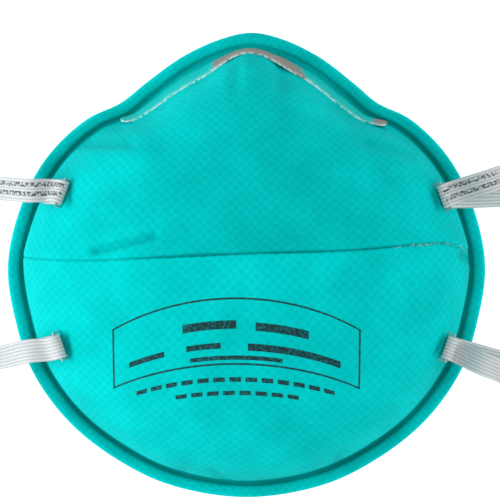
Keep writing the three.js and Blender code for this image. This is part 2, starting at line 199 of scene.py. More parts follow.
def new_material(name: str, surface: dict[str, Any]) -> tuple[Material, bpy.types.Node, Callable]:
    """Start a material.

    Args:
        name: its name.
        surface: values for its shader.

    Returns:
        The material, its shader and the function that adds a node to it.
    """
    material = bpy.data.materials.new(name)
    material.use_nodes = True
    shader = material.node_tree.nodes["Principled BSDF"]
    fill(shader, surface)
    return material, shader, partial(add_node, material.node_tree)


def link_object(name: str, data: Any) -> Object:
    """Put a new object into the scene."""
    obj = bpy.data.objects.new(name, data)
    bpy.context.scene.collection.objects.link(obj)
    return obj


def new_object(name: str, points: Array, faces: list, values: dict[str, Array] | None = None) -> Object:
    """Make a mesh object at the origin, shaded smooth.

    Args:
        name: the piece's name.
        points: its vertices, in millimetres.
        faces: vertex numbers for each face.
        values: attributes for each vertex, by name, as numbers or vectors.

    Returns:
        The linked object.
    """
    mesh = bpy.data.meshes.new(name)
    mesh.from_pydata((np.asarray(points) * MM).tolist(), [], [list(map(int, face)) for face in faces])
    mesh.polygons.foreach_set("use_smooth", np.ones(len(mesh.polygons), bool))
    for key, rows in (values or {}).items():
        rows = np.asarray(rows, np.float32)
        kind, field = ("FLOAT_VECTOR", "vector") if rows.ndim == 2 else ("FLOAT", "value")
        mesh.attributes.new(key, kind, "POINT").data.foreach_set(field, rows.ravel())
    mesh.update()
    return link_object(name, mesh)


def geometry_tree(name: str, kinds: dict[str, str]) -> tuple[Tree, Callable, Any]:
    """Start a Geometry Nodes tree.

    Args:
        name: the tree's name.
        kinds: the type of each named input after the geometry.

    Returns:
        The tree, the function that adds a node to it and the sockets of its inputs.
    """
    tree = bpy.data.node_groups.new(name, "GeometryNodeTree")
    tree.is_modifier = True
    for key, kind in {"Geometry": "Geometry", **kinds}.items():
        tree.interface.new_socket(key, in_out="INPUT", socket_type=f"NodeSocket{kind}")
    tree.interface.new_socket("Geometry", in_out="OUTPUT", socket_type="NodeSocketGeometry")
    node = partial(add_node, tree)
    return tree, node, node("NodeGroupInput", out=None).outputs


def raise_surface(node: Callable, geometry: Socket, height: Socket) -> Socket:
    """Move a surface out along its normals by a height, and return the moved geometry."""
    normal = node("GeometryNodeInputNormal")
    offset = node(VECTOR_MATH, {0: normal, "Scale": height}, operation="SCALE")
    return node("GeometryNodeSetPosition", {"Geometry": geometry, "Offset": offset})


def close_tree(node: Callable, geometry: Socket, finish: Socket) -> None:
    """End a tree in Realize Instances and Set Material."""
    real = node("GeometryNodeRealizeInstances", {"Geometry": geometry})
    dressed = node("GeometryNodeSetMaterial", {"Geometry": real, "Material": finish})
    node("NodeGroupOutput", {"Geometry": dressed}, None)


def run_tree(obj: Object, tree: Tree, values: dict[str, Any]) -> Object:
    """Run a tree on an object and keep the result as its plain mesh.

    Args:
        obj: the object.
        tree: the tree.
        values: the value of each named input.

    Returns:
        The same object, without a modifier.
    """
    modifier = obj.modifiers.new(tree.name, "NODES")
    modifier.node_group = tree
    for item in tree.interface.items_tree:
        if item.in_out == "INPUT" and item.name in values:
            modifier[item.identifier] = values[item.name]
    mesh = bpy.data.meshes.new_from_object(obj.evaluated_get(bpy.context.evaluated_depsgraph_get()))
    obj.modifiers.remove(modifier)
    obj.data = mesh
    mesh.polygons.foreach_set("use_smooth", np.ones(len(mesh.polygons), bool))
    return obj


def uneven_tree() -> Tree:
    """Build the tree that makes a surface softly uneven, by Depth, Grain and Seed."""
    kinds = {"Depth": "Float", "Grain": "Float", "Seed": "Float", "Finish": "Material"}
    tree, node, given = geometry_tree("soft_unevenness", kinds)
    place = node("GeometryNodeInputPosition")
    wave = {"Vector": place, "W": given["Seed"], "Scale": given["Grain"], "Detail": 1.0}
    middle = node(MATH, {0: node(NOISE, wave, noise_dimensions="4D"), 1: 0.5}, operation="SUBTRACT")
    height = node(MATH, {0: middle, 1: given["Depth"]}, operation="MULTIPLY")
    free = node("GeometryNodeInputNamedAttribute", {"Name": "free"}, data_type="FLOAT")
    held = node(MATH, {0: height, 1: free}, operation="MULTIPLY")
    close_tree(node, raise_surface(node, given["Geometry"], held), given["Finish"])
    return tree


def ribs_tree() -> Tree:
    """Build the tree that raises the lengthwise ribs of a band, by Rib and Height."""
    kinds = {"Rib": "Float", "Height": "Float", "Finish": "Material"}
    tree, node, given = geometry_tree("lengthwise_ribs", kinds)
    place = node("GeometryNodeInputNamedAttribute", {"Name": "band_mm"}, data_type="FLOAT_VECTOR")
    across = node("ShaderNodeSeparateXYZ", {0: place})
    count = node(MATH, {0: across, 1: given["Rib"]}, operation="DIVIDE")
    turn = node(MATH, {0: count, 1: math.tau}, operation="MULTIPLY")
    wave = node(MATH, {0: turn}, operation="COSINE")
    height = node(MATH, {0: wave, 1: given["Height"]}, operation="MULTIPLY")
    close_tree(node, raise_surface(node, given["Geometry"], height), given["Finish"])
    return tree


def attach(obj: Object, stands_for: tuple[str, ...] = ()) -> Object:
    """Tie a finished piece to the frame and report it.

    Args:
        obj: the piece.
        stands_for: the CAD nodes that it replaces.

    Returns:
        The same piece.
    """
    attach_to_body(obj, "root")
    if stands_for:
        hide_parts(*stands_for)
    log.info("%s: %d faces", obj.name, len(obj.data.polygons))
    return obj


# Finishes


@dataclass(frozen=True)
class PointBondedNonwoven:
    """Spunbond polypropylene, bonded in points by a heated roll: matt, softly quilted, with stray fibres."""

    cloth: str = "00C2C0"
    full: str = "00DAD8"
    thin: str = "00ACAA"
    spot: str = "00A29F"
    weld: str = "009793"
    across: float = 2.86
    along: float = 2.70
    slip: float = 1.6
    spot_depth: float = 0.12

    def build(self) -> Material:
        """Build the material, which reads cloth_mm, weld and tone, the painted light and shade, from the
        mesh.
        """
        surface = {"Roughness": 0.9, "Specular IOR Level": 0.02}
        material, shader, node = new_material("point_bonded_nonwoven", surface)
        cloth = node(ATTRIBUTE, out="Vector", attribute_name="cloth_mm")
        spots = self.bond_spots(node, cloth)
        # Fibres are 0.02 mm thick; bundles of 0.3 mm are drawn, because single ones don't show
        lain = node("ShaderNodeMapping", {0: cloth, "Rotation": (0, 0, 0.9), "Scale": (0.6, 1.9, 1.0)})
        web = {"Vector": lain, "Scale": 1.5, "Detail": 4.0, "Roughness": 0.6, "Distortion": 0.4}
        fibres = node(NOISE, web)
        clouds = node(NOISE, {"Vector": cloth, "Scale": 0.07, "Detail": 3.0})
        streaked = node(MIX, {0: fibres, 6: linear(self.thin), 7: linear(self.full)}, 2, data_type="RGBA")
        fuller = node(MIX, {0: clouds, 6: linear(self.cloth), 7: streaked}, 2, data_type="RGBA")
        broken = {"Value": fibres, "From Min": 0.35, "From Max": 0.62, "To Min": 0.08, "To Max": 0.5}
        share = node(MATH, {0: spots, 1: node(RANGE, broken)}, operation="MULTIPLY")
        spotted = node(MIX, {0: share, 6: fuller, 7: linear(self.spot)}, 2, data_type="RGBA")
        weld = node(ATTRIBUTE, out="Fac", attribute_name="weld")
        pressed = node(MIX, {0: weld, 6: spotted, 7: linear(self.weld)}, 2, data_type="RGBA")
        # The web is laid unevenly, thicker and thinner by a tenth over a centimetre or two
        laid = {"Value": clouds, "From Min": 0.3, "From Max": 0.7, "To Min": 0.9, "To Max": 1.1}
        # The tone attribute paints light and shade into the colour: at the pleat, its trough, the creases,
        # the band ends and the rim
        tone = node(ATTRIBUTE, out="Fac", attribute_name="tone")
        uneven = node(MATH, {0: tone, 1: node(RANGE, laid)}, operation="MULTIPLY")
        toned = node(VECTOR_MATH, {0: pressed, "Scale": uneven}, operation="SCALE")
        # The bond spots lie between raised fibres
        raised = node(MATH, {0: fibres, 1: 0.9}, operation="MULTIPLY")
        height = node(MATH, {0: raised, 1: spots}, operation="SUBTRACT")
        bump = node(BUMP, {"Strength": 0.4, "Distance": self.spot_depth * MM, "Height": height})
        fill(shader, {"Base Color": toned, "Normal": bump})
        return material

    def bond_spots(self, node: Callable, cloth: Socket) -> Socket:
        """Lay out the bond spots, which the roll pulled out of line by a fifth of a millimetre.

        Args:
            node: adds a node to the material.
            cloth: the place on the cloth, in millimetres.

        Returns:
            The socket that is 1 in a spot and 0 between the spots.
        """
        drift = node(NOISE, {"Vector": cloth, "Scale": 0.45, "Detail": 2.0}, "Color")
        centred = node(VECTOR_MATH, {0: drift, 1: (0.5, 0.5, 0.5)}, operation="SUBTRACT")
        slip = node(VECTOR_MATH, {0: centred, "Scale": self.slip}, operation="SCALE")
        place = node(VECTOR_MATH, {0: cloth, 1: slip}, operation="ADD")
        parts = node("ShaderNodeSeparateXYZ", {0: place}, None).outputs
        waves = []
        for axis, pitch in ((0, self.across), (1, self.along)):
            turn = node(MATH, {0: parts[axis], 1: math.tau / pitch}, operation="MULTIPLY")
            waves.append(node(MATH, {0: turn}, operation="COSINE"))
        product = node(MATH, {0: waves[0], 1: waves[1]}, operation="MULTIPLY")
        ends = {"Value": product, "From Min": -0.5, "From Max": 1.0}
        return node(RANGE, ends, interpolation_type="SMOOTHSTEP")


@dataclass(frozen=True)
class BraidedElastic:
    """White polyester braid over rubber cores: matt, ribbed along its length, crossed by fine yarns."""

    name: str
    printed: bool
    yarn: str = "D2D8DA"
    hollow_shade: str = "B2BABC"
    ink: str = "30383C"
    pick: float = 0.55
    rows: tuple = (-1.5, 0.85)
    row_half: float = 0.62
    ink_share: float = 0.85

    def build(self) -> Material:
        """Build the material, which reads band_mm, the place across and along, from the mesh."""
        surface = {"Roughness": 0.82, "Specular IOR Level": 0.3, "Sheen Weight": 0.1}
        material, shader, node = new_material(self.name, surface)
        place = node(ATTRIBUTE, out="Vector", attribute_name="band_mm")
        across, along, free = node("ShaderNodeSeparateXYZ", {0: place}, None).outputs
        turn = node(MATH, {0: across, 1: math.tau / RIB}, operation="MULTIPLY")
        ribs = node(MATH, {0: turn}, operation="COSINE")
        # Yarns cross the ribs in a zigzag, half a millimetre apart
        slant = node(MATH, {0: ribs, 1: 0.9}, operation="MULTIPLY")
        step = node(MATH, {0: along, 1: math.tau / self.pick, 2: slant}, operation="MULTIPLY_ADD")
        picks = node(MATH, {0: step}, operation="SINE")
        fuzz = node(NOISE, {"Vector": place, "Scale": 2.4, "Detail": 4.0})
        # Painted shade: the hollows between the ribs are darker, following the ribs' own wave, with a random
        # fuzz added
        ridge = node(RANGE, {"Value": ribs, "From Min": -1.0, "From Max": 0.4})
        lit = node(MATH, {0: fuzz, 1: 0.5, 2: -0.25}, operation="MULTIPLY_ADD")
        shade = node(MATH, {0: ridge, 1: lit}, operation="ADD", use_clamp=True)
        colour = node(MIX, {0: shade, 6: linear(self.hollow_shade), 7: linear(self.yarn)}, 2, data_type="RGBA")
        if self.printed:
            marks = self.dashes(node, across, along, free)
            colour = node(MIX, {0: marks, 6: colour, 7: linear(self.ink)}, 2, data_type="RGBA")
        woven = node(MATH, {0: picks, 1: 0.35, 2: ribs}, operation="MULTIPLY_ADD")
        height = node(MATH, {0: fuzz, 1: 0.8, 2: woven}, operation="MULTIPLY_ADD")
        bump = node(BUMP, {"Strength": 0.7, "Distance": 0.1 * MM, "Height": height})
        fill(shader, {"Base Color": colour, "Normal": bump})
        return material

    def dashes(self, node: Callable, across: Socket, along: Socket, free: Socket) -> Socket:
        """Lay out two rows of plain broken marks.

        Args:
            node: adds a node to the material.
            across: the place across the band.
            along: the place along it.
            free: above 0 where the band is printed.

        Returns:
            The socket with the ink's share.
        """
        low, high = self.rows
        lane = node(MATH, {0: across, 1: (low + high) / 2}, operation="GREATER_THAN")
        row = node(MATH, {0: lane, 1: high - low, 2: low}, operation="MULTIPLY_ADD")
        off = node(MATH, {0: across, 1: row}, operation="SUBTRACT")
        away = node(MATH, {0: off}, operation="ABSOLUTE")
        in_row = node(MATH, {0: away, 1: self.row_half}, operation="LESS_THAN")
        # The two rows read the noise far apart, so that their marks differ
        squeezed = node(MATH, {0: off, 1: 0.8}, operation="MULTIPLY")
        apart = node(MATH, {0: lane, 1: 7.3}, operation="MULTIPLY")
        spot = node("ShaderNodeCombineXYZ", {0: along, 1: squeezed, 2: apart})
        marks = node(NOISE, {"Vector": spot, "Scale": 1.5, "Detail": 1.0, "Roughness": 0.7})
        inked = node(RANGE, {"Value": marks, "From Min": 0.46, "From Max": 0.52})
        both = node(MATH, {0: in_row, 1: inked}, operation="MULTIPLY")
        faint = node(MATH, {0: both, 1: free}, operation="MULTIPLY", use_clamp=True)
        return node(MATH, {0: faint, 1: self.ink_share}, operation="MULTIPLY")


@dataclass(frozen=True)
class DullAluminium:
    """Soft rolled aluminium under a thin teal lacquer: worn to grey at the bend, pale and flecked below."""

    bare: str = "8F8781"
    lacquer: str = "00BAB5"
    scuff: str = "C9E4E0"
    shine: float = 0.55

    def build(self) -> Material:
        """Build the material, which reads edge and bare from the mesh."""
        material, shader, node = new_material("lacquered_rolled_aluminium", {"Specular IOR Level": 0.05})
        place = node("ShaderNodeTexCoord", out="Object")
        grain = node(NOISE, {"Vector": place, "Scale": 900.0, "Detail": 4.0})
        worn = node(ATTRIBUTE, out="Fac", attribute_name="bare")
        wear = node(NOISE, {"Vector": place, "Scale": 330.0, "Detail": 4.0})
        ragged = node(MATH, {0: wear, 1: 1.6, 2: worn}, operation="MULTIPLY_ADD")
        bare = node(RANGE, {"Value": ragged, "From Min": 1.15, "From Max": 1.6})
        face = node(MIX, {0: bare, 6: linear(self.lacquer), 7: linear(self.bare)}, 2, data_type="RGBA")
        edge = node(ATTRIBUTE, out="Fac", attribute_name="edge")
        flecks = node(RANGE, {"Value": grain, "From Min": 0.38, "From Max": 0.55})
        share = node(MATH, {0: edge, 1: flecks}, operation="MULTIPLY")
        colour = node(MIX, {0: share, 6: face, 7: linear(self.scuff)}, 2, data_type="RGBA")
        metal = node(MATH, {0: bare, 1: self.shine}, operation="MULTIPLY")
        rough = node(RANGE, {"Value": grain, "To Min": 0.45, "To Max": 0.75})
        bump = node(BUMP, {"Strength": 0.4, "Distance": 0.05 * MM, "Height": grain})
        fill(shader, {"Base Color": colour, "Metallic": metal, "Roughness": rough, "Normal": bump})
        return material


@dataclass(frozen=True)
class DrawnSteelWire:
    """Zinc-plated steel wire, drawn and bent: bright grey with fine marks."""

    wire: str = "C3C7C9"
    mark: str = "A4A8AA"

    def build(self) -> Material:
        """Build the material for the staples."""
        material, shader, node = new_material("drawn_steel_wire", {"Metallic": 1.0})
        place = node("ShaderNodeTexCoord", out="Object")
        marks = node(NOISE, {"Vector": place, "Scale": 1500.0, "Detail": 3.0})
        colour = node(MIX, {0: marks, 6: linear(self.mark), 7: linear(self.wire)}, 2, data_type="RGBA")
        rough = node(RANGE, {"Value": marks, "To Min": 0.25, "To Max": 0.5})
        fill(shader, {"Base Color": colour, "Roughness": rough})
        return material


@dataclass(frozen=True)
class StrayFibre:
    """Loose polypropylene fibres: thin, and pale all over, a painted highlight for the light they catch."""

    pale: str = "9FE3DE"

    def build(self) -> Material:
        """Build the material for the frayed lip and the loose thread."""
        surface = {"Base Color": linear(self.pale), "Roughness": 0.6, "Specular IOR Level": 0.2}
        return new_material("stray_polypropylene_fibre", surface)[0]


@dataclass(frozen=True)
class PadPrintInk:
    """Dark ink pressed on by a pad: dull, and thin where the cloth's hollows took none."""

    dark: str = "123438"
    thin: str = "0B6F70"

    def build(self) -> Material:
        """Build the material for the marks on the lower panel."""
        surface = {"Roughness": 0.85, "Specular IOR Level": 0.2}
        material, shader, node = new_material("pad_print_ink", surface)
        place = node("ShaderNodeTexCoord", out="Object")
        wear = node(NOISE, {"Vector": place, "Scale": 1400.0, "Detail": 3.0})
        share = node(RANGE, {"Value": wear, "From Min": 0.45, "From Max": 0.72})
        colour = node(MIX, {0: share, 6: linear(self.dark), 7: linear(self.thin)}, 2, data_type="RGBA")
        fill(shader, {"Base Color": colour})
        return material


# The cup


@dataclass
class Cup:
    """The moulded cup and its cloth. Angles are in degrees round the crown, with the nose at 90."""

    width: float = 130.0
    height: float = 126.2
    depth: float = 50.0
    wall: float = 2.2
    crown: float = 2.9
    nose_shift: float = 1.4
    nose_arch: float = 4.0
    arch_span: float = 42.0
    rim_width: float = 3.3
    rim_height: float = 2.2
    groove_width: float = 1.5
    groove_floor: float = 0.75
    foot_height: float = 1.5
    lap_height: float = 0.8
    lap_reach: float = 7.0
    ridge_height: float = 1.1
    ridge_reach: float = 8.0
    trough_depth: float = 1.1
    trough_reach: float = 0.8
    pleat_edge: float = 0.45
    pleat_overhang: float = 0.35
    # The lap lifts a little beside the upper right staple, at this share of half the width
    lift_at: float = 0.79
    lift_span: float = 0.13
    lift_height: float = 0.9
    # The trough beside the lift is shallower by this share, over this share of half the width
    trough_eased: float = 0.5
    trough_eased_span: float = 0.2
    # Left of here the pleat's trough grows faint
    faint_from: float = -50.0
    faint_run: float = 35.0
    # These tones paint light and shade into the cloth's colour: painted light below the pleat, painted shade
    # above it, in its trough, in the creases and just inside each band's folded end
    painted_light_below_pleat: float = 0.1
    painted_shade_above_pleat: float = 0.14
    trough_painted_shade: float = 0.2
    crease_painted_shade: float = 0.11
    band_end_painted_shadow: float = 0.55
    # The rim's tones: painted shade in the groove, a slightly darker flange and a painted highlight on the
    # rounded outer edge
    rim_tone: float = 0.88
    flange_tone: float = 0.93
    edge_painted_highlight: float = 1.06
    painted_light_reach: float = 16.0
    painted_shade_reach: float = 18.0
    tone_span: float = 30.0
    trough_middle: float = 0.35
    trough_half: float = 0.45
    puncture_back: float = 1.3
    puncture_thick: float = 0.8
    puncture_half: float = 3.1
    lip_below: float = 0.12
    lip_half: float = 0.22
    # The pleat and creases fade out below this climb
    fade_climb: float = 12.0
    # The groove is pressed less by this share, within some degrees of the nose
    groove_eased: float = 0.75
    eased_from: float = 22.0
    eased_run: float = 25.0
    pinch_depth: float = 4.6
    pinch_span: float = 60.0
    crease_depth: float = 0.8
    crease_reach: float = 2.0
    fullness_nose: float = 2.1
    fullness_side: float = 2.15
    fullness_chin: float = 2.45
    inset_side: float = 5.2
    inset_nose: float = 6.0
    inset_chin: float = 6.0
    # The right half of the outline, as shares of half the width and height
    outline: tuple = (
        (0, 1), (0.125, 0.974), (0.287, 0.897), (0.438, 0.784), (0.535, 0.703),
        (0.68, 0.629), (0.837, 0.472), (0.943, 0.266), (1, 0), (0.965, -0.252),
        (0.895, -0.46), (0.751, -0.667), (0.566, -0.822), (0.33, -0.944), (0, -1),
    )
    # How far the wall is drawn in, by the angle from the nose
    pinch: tuple = (
        (-60, 0), (-44, 0.55), (-28, 0.85), (-15, 1), (0, 0.1), (16, 0.8), (30, 0.9), (46, 0.55), (60, 0),
    )
    # Where each crease runs, as shares of half the width and height, then its depth and reach as shares;
    # the last one is a soft bulge
    creases: tuple = (
        (-0.7, 0.53, -0.47, 0.507, 1, 0.85),
        (0.49, 0.512, 0.677, 0.464, 1, 0.85),
        (-0.045, 0.85, -0.045, 0.75, 0.87, 1.1),
        (0.145, 0.86, 0.145, 0.76, 0.87, 1.1),
        (-0.6, 0.062, -0.36, 0.123, 1.75, 0.55),
        (-0.3, -0.9, -0.25, -0.87, 0.62, 0.65),
        (-0.13, -0.87, -0.07, -0.93, 0.75, 0.65),
        (0.37, -0.8, 0.385, -0.89, 0.75, 0.65),
        (0.88, 0.045, 0.915, 0.03, 1.9, 0.7),
        (-0.36, 0.1, -0.42, 0.36, -1.9, 6.0),
    )
    # Where the bands are stapled through the cloth, and which way each leaves, in degrees
    punctures: tuple = ((-47.8, 18.8, 176), (51.4, 18.0, 20), (-48.4, -20.8, 193), (52.7, -21.5, -24))
    # The pleat's line across the cup, from its left end to its right end
    pleat: tuple = (
        (-66, 2.3), (-60, 1.8), (-50, 1.2), (-39.3, 1.1), (-22.6, 1.9), (0, 2.9),
        (27.1, 3.75), (44.1, 5.1), (53.3, 5.3), (60.3, 3.2), (66, 2.4),
    )

    def __post_init__(self) -> None:
        """Work out the tables that the form is read from."""
        sides = ((1, self.outline), (-1, self.outline[-2:0:-1]))
        knots = [(side * x, y) for side, row in sides for x, y in row]
        half_width, half_height = self.width / 2, self.height / 2
        shift = self.nose_shift
        places = np.array([(x * half_width + shift * max(0, y) ** 2, y * half_height, 0) for x, y in knots])
        points = curve_through(places, True, np.linspace(0, len(places), 5760, endpoint=False))
        angle = np.degrees(np.arctan2(points[:, 1] - self.crown, points[:, 0])) % 360
        order = np.argsort(angle)
        self.reach_table = (angle[order], np.hypot(points[:, 0], points[:, 1] - self.crown)[order])
        line = np.array([(x, y, 0) for x, y in self.pleat])
        self.pleat_table = curve_through(line, False, np.linspace(0, len(line) - 1, 400))
        self.foot = self.rim_width + self.groove_width

    def rim_reach(self, angle: Array) -> Array:
        """Return how far the rim's outline is from the crown, seen in plan."""
        return np.interp(angle % 360, *self.reach_table, period=360)

    def pinch_at(self, angle: Array) -> Array:
        """Return how far the wall is drawn in beside the nose."""
        rows = np.array(self.pinch)
        turn = 90 - angle % 360
        last = np.clip(np.searchsorted(rows[:, 0], turn, "right"), 1, len(rows) - 1)
        before, after = rows[last - 1], rows[last]
        share = smoothstep((turn - before[..., 0]) / (after[..., 0] - before[..., 0]))
        draw = before[..., 1] + share * (after[..., 1] - before[..., 1])
        return self.pinch_depth * np.where(np.abs(turn) < self.pinch_span, draw, 0.0)

    def arch_at(self, angle: Array) -> Array:
        """Return how high the rim arches over the nose."""
        return self.nose_arch * (1 - smoothstep(np.abs(angle % 360 - 90) / self.arch_span))

    def smooth(self, angle: Array, climb: Array) -> Array:
        """Return points of the cup before its pleat and creases.

        Args:
            angle: the way out from the crown, in degrees.
            climb: from 0 at the wall's foot to 90 at the crown.

        Returns:
            The points, in millimetres.
        """
        turn = np.radians(angle)
        rise = np.sin(turn)
        end = np.where(rise > 0, self.fullness_nose, self.fullness_chin)
        power = 2 / (self.fullness_side + (end - self.fullness_side) * rise**2)
        share = np.maximum(0, np.cos(np.radians(climb))) ** power
        lift = np.maximum(0, np.sin(np.radians(climb))) ** power
        foot = self.rim_reach(angle) - self.foot
        up = self.height / 2 - self.crown - self.inset_nose
        down = self.height / 2 + self.crown - self.inset_chin
        across = self.width / 2 - self.inset_side
        dome = 1 / np.hypot(np.cos(turn) / across, rise / np.where(rise > 0, up, down))
        drawn = self.pinch_at(angle) * smoothstep(lift * 3.2) * share**5
        reach = (foot + (dome - foot) * lift**2) * share - drawn
        z = self.foot_height + self.arch_at(angle) * (1 - lift) + (self.depth - self.foot_height) * lift
        return np.stack([reach * np.cos(turn), self.crown + reach * rise, z], axis=-1)

    def normal(self, angle: Array, climb: Array) -> Array:
        """Return the way out of the smooth cup at some places."""
        low, high = np.maximum(0, climb - 0.5), np.minimum(89.5, climb + 0.5)
        uphill = self.smooth(angle, high) - self.smooth(angle, low)
        level = np.minimum(climb, 89)
        along = self.smooth(angle + 0.7, level) - self.smooth(angle - 0.7, level)
        return unit(np.cross(along, uphill))

    def pleat_y(self, x: Array) -> Array:
        """Return where the pleat's line is, by the place across the cup."""
        return np.interp(x, self.pleat_table[:, 0], self.pleat_table[:, 1])

    def pleat_mark(self, x: Array, least: float) -> Array:
        """Return how strong the pleat is, from the least at its left end to 1."""
        return least + (1 - least) * smoothstep((x - self.faint_from) / self.faint_run)

    def crease_shares(self, x: Array, y: Array) -> list[tuple[float, Array]]:
        """Tell how far some places lie in each crease.

        Args:
            x: the places across, in millimetres.
            y: the places up.

        Returns:
            For each crease its depth and the places' shares, 1 in its middle and 0 away from it.
        """
        rows = []
        half = np.array([self.width / 2, self.height / 2])
        for x1, y1, x2, y2, depth, reach in self.creases:
            start = half * (x1, y1)
            run = half * (x2, y2) - start
            here = np.stack([x, y], -1) - start
            share = np.clip(here @ run / (run @ run), 0, 1)
            distance = np.linalg.norm(here - share[..., None] * run, axis=-1)
            rows.append((depth, bell(distance / (self.crease_reach * reach))))
        return rows

    def outer(self, angle: Array, climb: Array) -> Array:
        """Return points of the outer surface, with its pleat and creases."""
        point = self.smooth(angle, climb)
        x, y = point[..., 0], point[..., 1]
        above = y - self.pleat_y(x)
        from_lift = x / self.width * 2 - self.lift_at
        lap = self.lap_height + self.lift_height * bell(from_lift / self.lift_span)
        lap = lap * np.exp(np.minimum(0, above) / self.lap_reach)
        ridge = self.ridge_height * np.exp(-np.maximum(0, above) / self.ridge_reach)
        eased = self.trough_eased * bell(from_lift / self.trough_eased_span)
        held = (1 - eased) * self.pleat_mark(x, 0.6)
        trough = self.trough_depth * held * bell(np.maximum(0, above) / self.trough_reach)
        relief = lap + (ridge - trough - lap) * smoothstep(above / self.pleat_edge + 0.5)
        for depth, share in self.crease_shares(x, y):
            relief = relief - self.crease_depth * depth * share
        fade = smoothstep(climb / self.fade_climb)
        point = point + self.normal(angle, climb) * (relief * fade)[..., None]
        # The lap's lip leans over the panel above it
        point[..., 1] += self.pleat_overhang * bell((above + self.lip_below) / self.lip_half) * fade
        return point

    def tone(self, point: Array) -> Array:
        """Return the factor on the cloth's colour, which paints light below the pleat and shade above it, in
        its trough, in the creases and just inside each band's folded end.
        """
        x, y = point[..., 0], point[..., 1]
        above = y - self.pleat_y(x)
        # Painted light below the pleat and painted shade above it, strongest in the middle
        lit_below = self.painted_light_below_pleat * np.exp(np.minimum(0, above) / self.painted_light_reach)
        drawn = -self.painted_shade_above_pleat * np.exp(-np.maximum(0, above) / self.painted_shade_reach)
        full = 1 + np.where(above < 0, lit_below, drawn) * bell(x / self.tone_span)
        # Painted shade in the pleat's trough, fainter towards its left end
        in_trough = bell((above - self.trough_middle) / self.trough_half)
        full = full - self.trough_painted_shade * self.pleat_mark(x, 0.4) * in_trough
        # Painted shade in the creases, none on the bulge
        for depth, share in self.crease_shares(x, y):
            full = full - self.crease_painted_shade * max(depth, 0) * share
        # Painted shadow on the cloth just inside each band's folded end
        for place_x, place_y, heading in self.punctures:
            turn = math.radians(heading)
            out = (x - place_x) * math.cos(turn) + (y - place_y) * math.sin(turn)
            side = (y - place_y) * math.cos(turn) - (x - place_x) * math.sin(turn)
            behind = bell((out + self.puncture_back) / self.puncture_thick)
            full = full - self.band_end_painted_shadow * behind * bell((side / self.puncture_half) ** 2)
        return full

    def groove_share(self, angle: Array) -> Array:
        """Return how strongly the groove is pressed, which is least at the nose."""
        from_nose = np.abs(angle % 360 - 90)
        return 1 - self.groove_eased * (1 - smoothstep((from_nose - self.eased_from) / self.eased_run))

    def rim(self, angle: Array, inset: float, height: float) -> Array:
        """Return points of the welded rim, by their distance in from the outline and their height."""
        reach = self.rim_reach(angle) - inset
        turn = np.radians(angle)
        z = height + self.arch_at(angle)
        return np.stack([reach * np.cos(turn), self.crown + reach * np.sin(turn), z], axis=-1)

    def where(self, x: float, y: float) -> tuple[float, float]:
        """Find which way out from the crown and how far up the wall a point of the plan lies.

        Args:
            x: the place across, in millimetres.
            y: the place up.

        Returns:
            The angle and the climb, in degrees.
        """
        angle = np.degrees(np.arctan2(y - self.crown, x))
        low, high = 0.0, 89.9
        for _ in range(40):
            middle = (low + high) / 2
            there = self.smooth(angle, middle)
            if np.hypot(there[0], there[1] - self.crown) > np.hypot(x, y - self.crown):
                low = middle
            else:
                high = middle
        return angle, low

    def over(self, x: float, y: float) -> tuple[Array, Array]:
        """Return the point of the smooth cup over a point of the plan, and the way out there."""
        angle, climb = self.where(x, y)
        return self.smooth(angle, climb), self.normal(angle, climb)

    def columns(self) -> Array:
        """Return the directions of the mesh's columns, close together at the pleat's two ends."""
        near = [0.05, 0.12, 0.2, 0.3, 0.42, 0.56, 0.74, 0.95, 1.25, 1.65, 2.15, 2.8, 3.5, 4.25, 5.0, 5.8]
        quarter = np.concatenate([near, np.arange(6.7, 90, 0.92)])
        half = np.concatenate([[0], quarter, [90], 180 - quarter[::-1]])
        return np.concatenate([half, half + 180])

    def turned(self, columns: Array, climb: float, at_rim: bool = False) -> Array:
        """Turn the columns so that two of them follow the pleat.

        Args:
            columns: their directions at the crown.
            climb: the row's climb.
            at_rim: whether the row belongs to the rim.

        Returns:
            Their directions in that row.
        """
        side = np.where(np.cos(np.radians(columns)) > 0, 1.0, -1.0)
        middle = np.where(side > 0, 0.0, 180.0)
        pull = 1 - smoothstep(1.6 * np.abs(np.sin(np.radians(columns))))
        if at_rim:
            reach = self.rim_reach(middle) - self.foot
        else:
            reach = np.hypot(*(self.smooth(middle, climb) - [0, self.crown, 0])[..., :2].T)
        rise = (self.pleat_y(side * reach) - self.crown) / np.maximum(reach, 1.0)
        return columns + side * np.degrees(np.arcsin(rise)) * pull

    def rim_rows(self) -> list[tuple[float, float, float, float]]:
        """Return the rim's rows from the groove to the inside: inset, height, share of weld and painted tone.
        """
        wide, foot, low, high = self.rim_width, self.foot, self.groove_floor, self.rim_height
        groove = [
            (foot, self.foot_height, 0.1),
            (foot - 0.3, self.foot_height - 0.1, 0.3),
            (foot - 0.55, low + 0.35, 0.8),
            (foot - 0.75, low + 0.05, 1.0),
            (wide + 0.35, low, 1.0),
            (wide + 0.1, low + 0.2, 0.9),
            (wide - 0.15, high - 0.5, 0.35),
            (wide - 0.45, high - 0.14, 0.1),
        ]
        flange = [(wide * 0.7, high, 0.05), (wide * 0.5, high + 0.05, 0.05), (wide * 0.32, high - 0.04, 0.05)]
        edge = [(0.45, high - 0.35, 0.0), (0.12, high * 0.62, 0.0), (0.0, high * 0.42, 0.0)]
        under = [(0.08, 0.25, 0.0), (0.4, 0.0, 0.1), (foot * 0.6, 0.0, 0.3), (foot + self.wall, 0.0, 0.1)]
        # The groove's rows are painted darker as shade, the flange's a little darker, and the rounded outer
        # edge's lighter as a painted highlight
        parts = ((groove, self.rim_tone), (flange, self.flange_tone), (edge, self.edge_painted_highlight), (under, 1.0))
        return [(*row, tone) for rows, tone in parts for row in rows]

